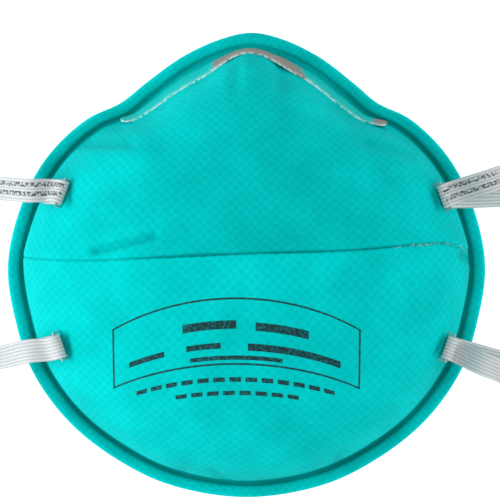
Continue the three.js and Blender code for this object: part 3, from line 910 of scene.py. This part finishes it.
    def build_cloth(self, finish: Material, uneven: Tree) -> Object:
        """Build the whole closed cup, outside, rim and inside.

        Args:
            finish: the cloth's material.
            uneven: the tree that softens its surface.

        Returns:
            The piece.
        """
        columns = self.columns()
        count = len(columns)
        climbs = np.concatenate([[89.95, 89.85, 89.6], np.linspace(89.3, 3, 138), [2.2, 1.5, 0.9, 0.4]])
        rows = [self.outer(self.turned(columns, climb), np.full(count, climb)) for climb in climbs]
        weld = [np.zeros(count) for _ in climbs]
        free = [float(smoothstep(climb / 20)) for climb in climbs]
        tone = list(self.tone(np.stack(rows)))
        spread = self.turned(columns, 0.0, at_rim=True)
        for inset, height, share, rim_tone in self.rim_rows():
            rows.append(self.rim(spread, inset, height))
            weld.append(share * self.groove_share(spread))
            free.append(0.0)
            tone.append(np.full(count, rim_tone))
        inside = len(rows)
        for climb in np.linspace(4, 88.5, 40):
            normal = self.normal(columns, np.full(count, climb))
            rows.append(self.smooth(columns, climb) - self.wall * normal)
            weld.append(np.zeros(count))
            free.append(0.3)
            tone.append(np.ones(count))
        grid = np.stack(rows)
        crown_z = float(self.outer(np.array([270.0]), climbs[:1])[0, 2])
        tips = [[[0, self.crown, crown_z]], [[0, self.crown, self.depth - self.wall]]]
        points = np.vstack([tips[0], grid.reshape(-1, 3), tips[1]])
        last = 1 + (len(rows) - 1) * count
        faces: list[tuple] = []
        for column in range(count):
            after = (column + 1) % count
            faces.append((0, 1 + column, 1 + after))
            for row in range(len(rows) - 1):
                a, b = 1 + row * count + column, 1 + row * count + after
                faces.append((a, a + count, b + count, b))
            faces.append((last + column, len(points) - 1, last + after))
        values = {
            "cloth_mm": np.vstack([[[0, 0, 0]], self.on_cloth(grid, columns, inside), [[0, 0, 0]]]),
            "weld": np.concatenate([[0.0], *weld, [0.0]]),
            "free": np.concatenate([[1.0], np.repeat(free, count), [0.3]]),
            "tone": np.concatenate([[tone[0].mean()], *tone, [1.0]]),
        }
        obj = new_object("cup_cloth", points, faces, values)
        run_tree(obj, uneven, {"Depth": 1.5 * MM, "Grain": 1 / 0.022, "Seed": 4.0, "Finish": finish})
        return attach(obj, ("cup_shell",))

    def on_cloth(self, grid: Array, columns: Array, inside: int) -> Array:
        """Measure the places on the cloth from the crown, half along the wall and half in plan.

        Args:
            grid: the cup's points, row by row.
            columns: the directions of its columns.
            inside: the first row of the inside, which is measured from the crown again.

        Returns:
            One row for each point, in millimetres.
        """
        steps = np.linalg.norm(np.diff(grid, axis=0), axis=-1).mean(axis=1)
        run = 0.75 + np.concatenate([[0], np.cumsum(steps)])
        run[inside:] = run[-1] + 1.0 - run[inside:]
        plan = np.hypot(grid[..., 0], grid[..., 1] - self.crown)
        reach = 0.5 * run[:, None] + 0.5 * plan
        turn = np.radians(columns)
        cloth = np.stack([reach * np.cos(turn), reach * np.sin(turn), np.zeros_like(reach)], axis=-1)
        return cloth.reshape(-1, 3)


@dataclass
class FrayedEdge:
    """Pale fibres that stand out of the pleat's lip towards its right end."""

    cup: Cup
    left: float = 38.0
    right: float = 58.5
    count: int = 70
    long: float = 0.7
    thick: float = 0.05
    rise: float = 0.1
    seed: int = 5

    def tree(self) -> Tree:
        """Build the tree that stands a fibre on each point, by Long, Thick and Seed."""
        kinds = {"Long": "Float", "Thick": "Float", "Seed": "Int", "Finish": "Material"}
        tree, node, given = geometry_tree("stray_fibres", kinds)
        size = {"Radius Top": given["Thick"], "Radius Bottom": given["Thick"], "Depth": given["Long"]}
        fibre = node("GeometryNodeMeshCone", {"Vertices": 5, "Side Segments": 2, **size})
        random = partial(node, "FunctionNodeRandomValue")
        tilts = {0: (-0.5, 1.2, -0.5), 1: (0.5, 1.9, 0.5), "Seed": given["Seed"]}
        turn = random(tilts, data_type="FLOAT_VECTOR")
        scale = random({2: 0.5, 3: 1.3, "Seed": given["Seed"]}, 1, data_type="FLOAT")
        stood = {"Points": given["Geometry"], "Instance": fibre, "Rotation": turn, "Scale": scale}
        close_tree(node, node("GeometryNodeInstanceOnPoints", stood), given["Finish"])
        return tree

    def build(self, finish: Material) -> Object:
        """Build the fibres in a material, as one piece."""
        rng = np.random.default_rng(self.seed)
        x = rng.uniform(self.left, self.right, self.count)
        y = self.cup.pleat_y(x) + rng.normal(0.05, 0.12, self.count)
        points = []
        for place in zip(x, y):
            angle, climb = self.cup.where(*place)
            points.append(self.cup.outer(np.array([angle]), np.array([climb]))[0] + [0, 0, self.rise])
        obj = new_object("pleat_fibres", np.array(points), [])
        values = {"Long": self.long * MM, "Thick": self.thick * MM, "Seed": self.seed, "Finish": finish}
        run_tree(obj, self.tree(), values)
        return attach(obj)


@dataclass
class LooseThread:
    """A short thread end that hangs out beside the lower right staple."""

    cup: Cup
    thick: float = 0.12
    rise: float = 0.35
    route: tuple = ((52.5, -25.1), (53.0, -25.7), (53.7, -25.75), (54.3, -25.3))

    def build(self, finish: Material) -> Object:
        """Build the thread in a material, as one piece."""
        knots = []
        for place in self.route:
            point, normal = self.cup.over(*place)
            knots.append(point + normal * self.rise)
        path = curve_through(np.array(knots), False, np.linspace(0, len(knots) - 1, 25))
        way = unit(np.gradient(path, axis=0))
        side = unit(np.cross(way, [0, 0, 1]))
        turn = np.linspace(0, math.tau, 6, endpoint=False)[None, :, None]
        spread = side[:, None] * np.cos(turn) + np.cross(side, way)[:, None] * np.sin(turn)
        obj = new_object("loose_thread", *tube(path[:, None] + spread * self.thick))
        obj.data.materials.append(finish)
        return attach(obj)


@dataclass
class PanelPrint:
    """Plain marks on the lower panel: a thin curved frame, bars in it and two broken lines below."""

    line: float = 0.5
    half: float = 34.0
    top: float = -8.0
    tall: float = 17.5
    bow: float = 8.5
    centre: float = -2.6
    lift: float = 0.05
    dash: float = 3.0
    pitch: float = 4.2
    fine: float = 0.5
    start_height: float = 70.0
    # Each bar's left and right end, its height in the frame and its thickness
    bars: tuple = (
        (-29, -19, -12.6, 1.5), (-14, 0, -7.0, 2.2), (5, 19, -7.4, 2.2),
        (-13, -4, -12.4, 1.5), (3, 28, -12.8, 1.9), (-12, 12, -15.6, 1.1),
    )
    # Each broken line's left and right end, then its lower and upper edge below the frame
    broken: tuple = ((-27.0, 26.0, -4.4, -3.2), (-16.0, 14.0, -7.9, -6.8))

    def strip(self, x1: float, x2: float, y1: float, y2: float) -> list[Array]:
        """Divide one flat bar into a fine grid.

        Args:
            x1: its left end.
            x2: its right end.
            y1: its lower edge.
            y2: its upper edge.

        Returns:
            The grid's corners, row by row.
        """
        across = np.linspace(x1, x2, max(2, int(abs(x2 - x1) / self.fine) + 1))
        up = np.linspace(y1, y2, max(2, int(abs(y2 - y1) / self.fine) + 1))
        return [np.array([(x, y) for x in across]) for y in up]

    def laid_tree(self) -> Tree:
        """Build the tree that drops the flat marks on Cloth and lifts them by Lift."""
        kinds = {"Cloth": "Object", "Lift": "Float", "Finish": "Material"}
        tree, node, given = geometry_tree("ink_laid_on_cloth", kinds)
        target = node("GeometryNodeObjectInfo", {"Object": given["Cloth"]}, "Geometry")
        ray = {"Target Geometry": target, "Ray Direction": (0, 0, -1), "Ray Length": 0.2}
        hit = node("GeometryNodeRaycast", ray, None).outputs
        raised = node(VECTOR_MATH, {0: hit["Hit Normal"], "Scale": given["Lift"]}, operation="SCALE")
        place = node(VECTOR_MATH, {0: hit["Hit Position"], 1: raised}, operation="ADD")
        laid = node("GeometryNodeSetPosition", {"Geometry": given["Geometry"], "Position": place})
        close_tree(node, laid, given["Finish"])
        return tree

    def build(self, cloth: Object, finish: Material) -> Object:
        """Build the marks and lay them on the cloth.

        Args:
            cloth: the piece that they lie on.
            finish: the ink.

        Returns:
            The piece.
        """
        half, line, tall = self.half, self.line, self.tall
        grids = [
            self.strip(-half, half, -line, 0),
            self.strip(-half, half, -tall, line - tall),
            self.strip(-half, line - half, -tall, 0),
            self.strip(half - line, half, -tall, 0),
        ]
        grids += [self.strip(x1, x2, y - size / 2, y + size / 2) for x1, x2, y, size in self.bars]
        for left, right, low, high in self.broken:
            for start in np.arange(left, right, self.pitch):
                grids.append(self.strip(start, start + self.dash, low - tall, high - tall))
        points: list[Array] = []
        faces: list[tuple] = []
        for rows in grids:
            first, count = sum(map(len, points)), len(rows[0])
            points += rows
            for row in range(len(rows) - 1):
                for a in range(first + row * count, first + row * count + count - 1):
                    faces.append((a, a + 1, a + count + 1, a + count))
        flat = np.vstack(points)
        share = flat[:, 0] / half
        x = self.centre + flat[:, 0] * (1 - 0.05 * share**2)
        y = self.top - self.bow * share**2 + flat[:, 1] * (1 - 0.1 * share**2)
        z = np.full(len(x), self.start_height)
        obj = new_object("panel_print", np.stack([x, y, z], 1), faces)
        run_tree(obj, self.laid_tree(), {"Cloth": cloth, "Lift": self.lift * MM, "Finish": finish})
        return attach(obj)


@dataclass
class NoseClip:
    """The bent strip over the nose, which follows the wall and lifts at its tips."""

    cup: Cup
    wide: float = 5.0
    thick: float = 0.5
    level: float = 8.5
    tip_lift: float = 1.0
    gap: float = 0.1
    left: float = 133.5
    right: float = 42.5
    press: float = 0.3
    bend_left: float = -12.5
    bend_right: float = 19.0
    bare_tip: float = 33.5
    steps: int = 220

    def build(self, finish: Material, uneven: Tree) -> Object:
        """Build the strip with rounded tips and soft edges.

        Args:
            finish: the strip's metal.
            uneven: the tree that gives it its hand-bent waves.

        Returns:
            The piece.
        """
        share = np.linspace(0, 1, self.steps + 1)
        angle = self.left + (self.right - self.left) * share
        low, high = np.zeros_like(angle), np.full_like(angle, 60.0)
        for _ in range(30):
            middle = (low + high) / 2
            under = self.cup.smooth(angle, middle)[:, 2] < self.level + self.cup.arch_at(angle)
            low, high = np.where(under, middle, low), np.where(under, high, middle)
        face = self.cup.normal(angle, low)
        off = self.gap + self.thick / 2 + self.tip_lift * np.abs(2 * share - 1) ** 12
        place = self.cup.smooth(angle, low) + face * off[:, None]
        side = unit(np.cross(face, unit(np.gradient(place, axis=0))))
        run = run_along(place)
        from_tip = np.clip(np.minimum(run, run[-1] - run) / (self.wide / 2), 0, 1)
        half = self.wide / 2 * np.sqrt(np.clip(1 - (1 - from_tip) ** 2, 0.02, 1))
        across = np.array([-1, -0.97, -0.85, -0.5, 0, 0.5, 0.85, 0.97, 1])
        bulge = np.array([0.35, 0.75, 1, 1, 1, 1, 1, 0.75, 0.35]) * self.thick / 2
        section = np.concatenate([across, across[::-1]])
        out = np.concatenate([bulge, -bulge[::-1]])
        # The lower edge is pressed down on the cloth
        lower = np.maximum(0, -section)
        out = out - self.press * lower**2
        rings = place[:, None] + side[:, None] * (half[:, None] * section)[..., None]
        points, faces = tube(rings + face[:, None] * out[None, :, None])
        x = points[:, 0]
        bend = smoothstep((x - self.bend_left) / 6) * smoothstep((self.bend_right - x) / 6)
        values = {
            "edge": np.concatenate([[1.0], np.tile(lower**5, len(rings)), [1.0]]),
            "bare": np.clip(bend + smoothstep((x - self.bare_tip) / 2), 0, 1),
            "free": np.ones(len(points)),
        }
        obj = new_object("nose_clip_strip", points, faces, values)
        run_tree(obj, uneven, {"Depth": 0.5 * MM, "Grain": 1 / 0.006, "Seed": 9.0, "Finish": finish})
        return attach(obj, ("nose_clip",))


# The headbands


def wall_way(normal: Array, heading: float) -> Array:
    """Return the way along a wall that keeps a heading, in degrees, as seen in plan."""
    turn = math.radians(heading)
    level = np.array([math.cos(turn), math.sin(turn), 0.0])
    return unit(level - np.array([0.0, 0.0, level @ normal / normal[2]]))


@dataclass
class BandEnd:
    """Where a band's folded end sits on the cup, as shares, and the ways that it and its tail go."""

    across: float
    up: float
    heading: float
    tail_heading: float
    tail: float = 8.0
    tail_lift: float = 0.0
    print_reach: float = 28.0

    def axes(self, cup: Cup) -> tuple[Array, Array, Array, Array]:
        """Return the place on the cup, the way out of it, the way along the band and the way across."""
        point, normal = cup.over(self.across * cup.width / 2, self.up * cup.height / 2)
        along = wall_way(normal, self.heading)
        return point, normal, along, np.cross(normal, along)


@dataclass
class Headband:
    """One flat elastic band: a whole loop, its two folded ends and their tails."""

    name: str
    node: str
    cup: Cup
    first: BandEnd
    last: BandEnd
    route: tuple
    wide: float = 6.35
    thick: float = 0.9
    wire: float = 0.5
    gap: float = 0.3
    overlap: float = 0.2
    flat_run: float = 4.0
    rib_height: float = 0.035
    printed_stations: int = 8
    stations: int = 420

    def levels(self) -> tuple[float, float, float]:
        """Return how high the tail, the staple's wire and the band lie over the cup."""
        tail = self.gap + self.thick / 2
        wire = self.gap + self.thick + self.gap + self.wire / 2
        return tail, wire, wire + self.wire / 2 + self.gap + self.thick / 2

    def section(self) -> tuple[Array, Array]:
        """Return the places across and out of the band's rounded section, once round."""
        half, face = self.wide / 2, self.thick / 2
        across = np.linspace(-half + 0.14, half - 0.14, 43)
        top = face * (1 - 0.25 * np.abs(across / half) ** 8)
        edge = np.array([half - 0.03, half, half - 0.03])
        edge_out = np.array([0.6, 0.0, -0.6]) * face
        sides = np.concatenate([across, edge, across[::-1], -edge])
        return sides, np.concatenate([top, edge_out, -top[::-1], -edge_out])

    def sweep(self, name: str, path: tuple, marked: Array, finish: Material, ribs: Tree) -> Object:
        """Sweep the section along a path.

        Args:
            name: the piece's name.
            path: the points, and at each the way across the band and the way out of its outer face.
            marked: from 0 where it is plain to 1 where it is printed.
            finish: the elastic's material.
            ribs: the tree that raises its ribs.

        Returns:
            The object, which rides on nothing yet.
        """
        place, side, face = path
        sides, out = self.section()
        rings = place[:, None] + side[:, None] * sides[None, :, None] + face[:, None] * out[None, :, None]
        run = run_along(place)
        printed = marked[:, None] * np.where(out > 0.35 * self.thick, 1.0, 0.0)[None]
        across, along = np.broadcast_arrays(sides[None], run[:, None])
        rows = np.stack([across, along, printed], axis=-1)
        values = {"band_mm": np.vstack([[[0, run[0], 0]], rows.reshape(-1, 3), [[0, run[-1], 0]]])}
        obj = new_object(name, *tube(rings), values)
        return run_tree(obj, ribs, {"Rib": RIB, "Height": self.rib_height * MM, "Finish": finish})

    def loop_path(self) -> tuple[Array, Array, Array]:
        """Return the loop's points and its ways across and out, from the first end to the last."""
        level = self.levels()[2]
        knots, sides, turns = [], [], []
        ways_in = (-self.overlap, self.flat_run)
        for end, stops in ((self.first, ways_in), (self.last, ways_in[::-1])):
            point, normal, along, across = end.axes(self.cup)
            if end is self.last:
                across = -across
                knots += [np.array(row[:3], float) for row in self.route]
                sides += [None] * len(self.route)
                turns += [row[3] for row in self.route]
            knots += [point + along * stop + normal * level for stop in stops]
            sides += [across, across]
            turns += [0.0, 0.0]
        knots = np.array(knots)
        last = len(knots) - 1
        fine = np.linspace(0, last, 6001)
        run = run_along(curve_through(knots, False, fine))
        at = np.interp(np.linspace(0, run[-1], self.stations + 1), run, fine)
        step = 0.002

        def tangent(where: Array) -> Array:
            """Return the curve's way at some places."""
            ahead = curve_through(knots, False, np.minimum(where + step, last))
            return unit(ahead - curve_through(knots, False, np.maximum(where - step, 0)))

        ways = tangent(np.arange(len(knots), dtype=float))
        for i, side in enumerate(sides):
            if side is None:
                flat = unit(np.cross([0, 0, 1], ways[i]))
                turn = math.radians(turns[i])
                sides[i] = flat * math.cos(turn) + np.cross(ways[i], flat) * math.sin(turn)
        sides = np.array(sides)
        before = np.minimum(np.floor(at).astype(int), last - 1)
        blend = smoothstep(at - before)[:, None]
        side = sides[before] * (1 - blend) + sides[before + 1] * blend
        way = tangent(at)
        side = unit(side - way * np.einsum("ij,ij->i", side, way)[:, None])
        return curve_through(knots, False, at), side, np.cross(way, side)

    def fold_path(self, end: BandEnd) -> tuple[Array, Array, Array]:
        """Return the path of a folded end, from its tail's tip round the bend to the band."""
        point, normal, along, across = end.axes(self.cup)
        tail_level, wire_level, band_level = self.levels()
        radius = (band_level - tail_level) / 2
        way = wall_way(normal, end.tail_heading)
        side = np.cross(normal, way)
        places, sides, faces = [], [], []
        level = unit(way * [1, 1, 0])
        place = point + normal * tail_level
        for share in np.linspace(0.04, 1, 25):
            # A long tail leaves the wall little by little
            bent = unit(way + (level - way) * end.tail_lift * smoothstep(share * 1.6))
            place = place + bent * end.tail * 0.04
            level_side = unit(side - bent * (side @ bent))
            places.insert(0, place + normal * 0.04 * math.sin(share * 9))
            sides.insert(0, level_side)
            faces.insert(0, -np.cross(bent, level_side))
        for share in np.linspace(0, 1, 19):
            bend = (share - 0.5) * math.pi
            out = wire_level + radius * math.sin(bend)
            places.append(point - along * radius * math.cos(bend) + normal * out)
            sides.append(unit(side * (1 - smoothstep(share)) + across * smoothstep(share)))
            faces.append(normal * math.sin(bend) - along * math.cos(bend))
        return np.array(places), np.array(sides), np.array(faces)

    def build(self, finish: Material, ribs: Tree) -> Object:
        """Args:
            finish: the elastic's material.
            ribs: the tree that raises its ribs.

        Returns:
            The loop.
        """
        path = self.loop_path()
        run = run_along(path[0])
        marked = smoothstep((self.first.print_reach - run) / 2)
        marked = marked + smoothstep((self.last.print_reach - run[-1] + run) / 2)
        loop = self.sweep(self.name, path, marked, finish, ribs)
        for where, end in (("left", self.first), ("right", self.last)):
            fold_path = self.fold_path(end)
            marked = np.zeros(len(fold_path[0]))
            marked[-self.printed_stations :] = 1.0
            fold = self.sweep(f"{self.name}_{where}_fold", fold_path, marked, finish, ribs)
            attach(fold)
        attach(loop, (self.node,))
        return loop


# Each band's way round the cup: the place, then its turn about its own line in degrees, 90 on edge
UPPER_ROUTE = (
    (-57, 19.9, 25.5, 0), (-63, 20.4, 19.5, 4), (-69, 21.2, 13, 18), (-74, 24, 7.6, 48),
    (-77, 30, 4, 78), (-78.5, 40, 3.2, 90), (-79, 52, 3.2, 90), (-77.5, 63.5, 3.2, 90),
    (-73, 72.5, 3.2, 90), (-65, 78, 3.2, 90), (-51, 80.5, 3.2, 90), (-26, 81.3, 3.2, 90),
    (0, 81.5, 3.2, 90), (27, 81.3, 3.2, 90), (53, 80.5, 3.2, 90), (67.5, 78, 3.2, 90),
    (75.5, 72.5, 3.2, 90), (80, 63.5, 3.2, 90), (81.5, 53, 3.2, 90), (81.5, 42, 3.6, 84),
    (80.5, 33, 6, 62), (76.5, 27.3, 10.5, 36), (70.5, 24.6, 16.5, 16), (64, 22.3, 22, 4),
)
LOWER_ROUTE = (
    (-57.5, -22.6, 24, 0), (-63, -23.9, 18.5, -4), (-69, -25.8, 12.5, -18), (-74, -29.5, 7.2, -48),
    (-77, -36, 4, -78), (-78, -46, 3.2, -90), (-76.5, -56.5, 3.2, -90), (-71.5, -66, 3.2, -90),
    (-62, -71.8, 3.2, -90), (-48, -74.2, 3.2, -90), (-26, -74.9, 3.2, -90), (0, -75, 3.2, -90),
    (26, -74.9, 3.2, -90), (50, -74.2, 3.2, -90), (64, -71.8, 3.2, -90), (73.5, -66, 3.2, -90),
    (78.5, -57, 3.2, -90), (79.8, -46.5, 3.8, -84), (78.6, -38.4, 7, -62), (74.6, -32.2, 12, -34),
    (68.8, -28.5, 17.5, -14), (63, -26.1, 22, -4),
)


# Studio


@dataclass
class Studio:
    """The camera, the light and the floor."""

    centre: tuple = (0.95, 4.2)
    far: float = 900.0
    frame_width: float = 136.3
    sensor: float = 36.0
    floor_half: float = 1500.0
    # Each softbox: its name, its place and side in metres, and its power in watts
    softboxes: tuple = (
        ("key", (-1.2, -0.12, 0.42), 0.7, 12.0),
        ("side", (1.1, -0.2, 0.55), 0.8, 4.5),
        ("fill", (0.0, 0.0, 1.3), 0.8, 4.5),
    )

    def add_camera(self) -> None:
        """Add the camera, straight over the mask with its nose up in the picture."""
        data = bpy.data.cameras.new("camera")
        data.sensor_width = self.sensor
        data.lens = self.sensor * self.far / self.frame_width
        data.clip_end = 10
        camera = link_object("camera", data)
        camera.location = (self.centre[0] * MM, self.centre[1] * MM, self.far * MM)
        bpy.context.scene.camera = camera

    def add_lights(self) -> None:
        """Add the white room and the square softboxes that look at the mask."""
        world = bpy.data.worlds.new("white_room")
        world.use_nodes = True
        fill(world.node_tree.nodes["Background"], {"Color": linear("FFFFFF"), "Strength": 0.5})
        bpy.context.scene.world = world
        for name, place, size, power in self.softboxes:
            data = bpy.data.lights.new(name, "AREA")
            data.size = size
            data.energy = power
            light = link_object(name, data)
            light.location = place
            light.rotation_euler = (-Vector(place)).to_track_quat("-Z", "Y").to_euler()

    def add_floor(self) -> None:
        """Add the floor, which glows a little as a light table does."""
        half = self.floor_half
        corners = np.array([(-half, -half, 0), (half, -half, 0), (half, half, 0), (-half, half, 0)])
        floor = new_object("floor", corners, [(0, 1, 2, 3)])
        glow = {"Emission Color": linear("FFFFFF"), "Emission Strength": 0.45}
        surface = {"Base Color": linear("F7F8F8"), "Roughness": 0.9, **glow}
        floor.data.materials.append(new_material("matt_white_table", surface)[0])


def dress_staples(finish: Material) -> None:
    """Give the four staples their wire."""
    for name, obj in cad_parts.items():
        if name.startswith("staple_"):
            obj.data.materials.clear()
            obj.data.materials.append(finish)
            log.info("%s: dressed", name)


def main() -> None:
    """Build the scene, piece by piece."""
    logging.basicConfig(level=logging.INFO, format="%(name)s %(message)s")
    bpy.context.scene.view_settings.view_transform = "Standard"
    studio = Studio()
    studio.add_camera()
    cup = Cup()
    ribs = ribs_tree()
    uneven = uneven_tree()
    upper_left = BandEnd(-0.735, 0.298, 176, 176)
    upper_right = BandEnd(0.79, 0.285, 20, 2, tail=20.0, tail_lift=0.75, print_reach=18.5)
    lower_left = BandEnd(-0.745, -0.33, 193, 193)
    lower_right = BandEnd(0.81, -0.34, -24, -16, tail=19.2, tail_lift=0.75)
    upper = Headband("upper_band", "upper_headband", cup, upper_left, upper_right, UPPER_ROUTE)
    lower = Headband("lower_band", "lower_headband", cup, lower_left, lower_right, LOWER_ROUTE)
    upper.build(BraidedElastic("printed_braided_elastic", True).build(), ribs)
    lower.build(BraidedElastic("plain_braided_elastic", False).build(), ribs)
    cloth = cup.build_cloth(PointBondedNonwoven().build(), uneven)
    fibre = StrayFibre().build()
    FrayedEdge(cup).build(fibre)
    LooseThread(cup).build(fibre)
    PanelPrint().build(cloth, PadPrintInk().build())
    NoseClip(cup).build(DullAluminium().build(), uneven)
    dress_staples(DrawnSteelWire().build())
    studio.add_lights()
    studio.add_floor()


if __name__ == "__main__":
    main()
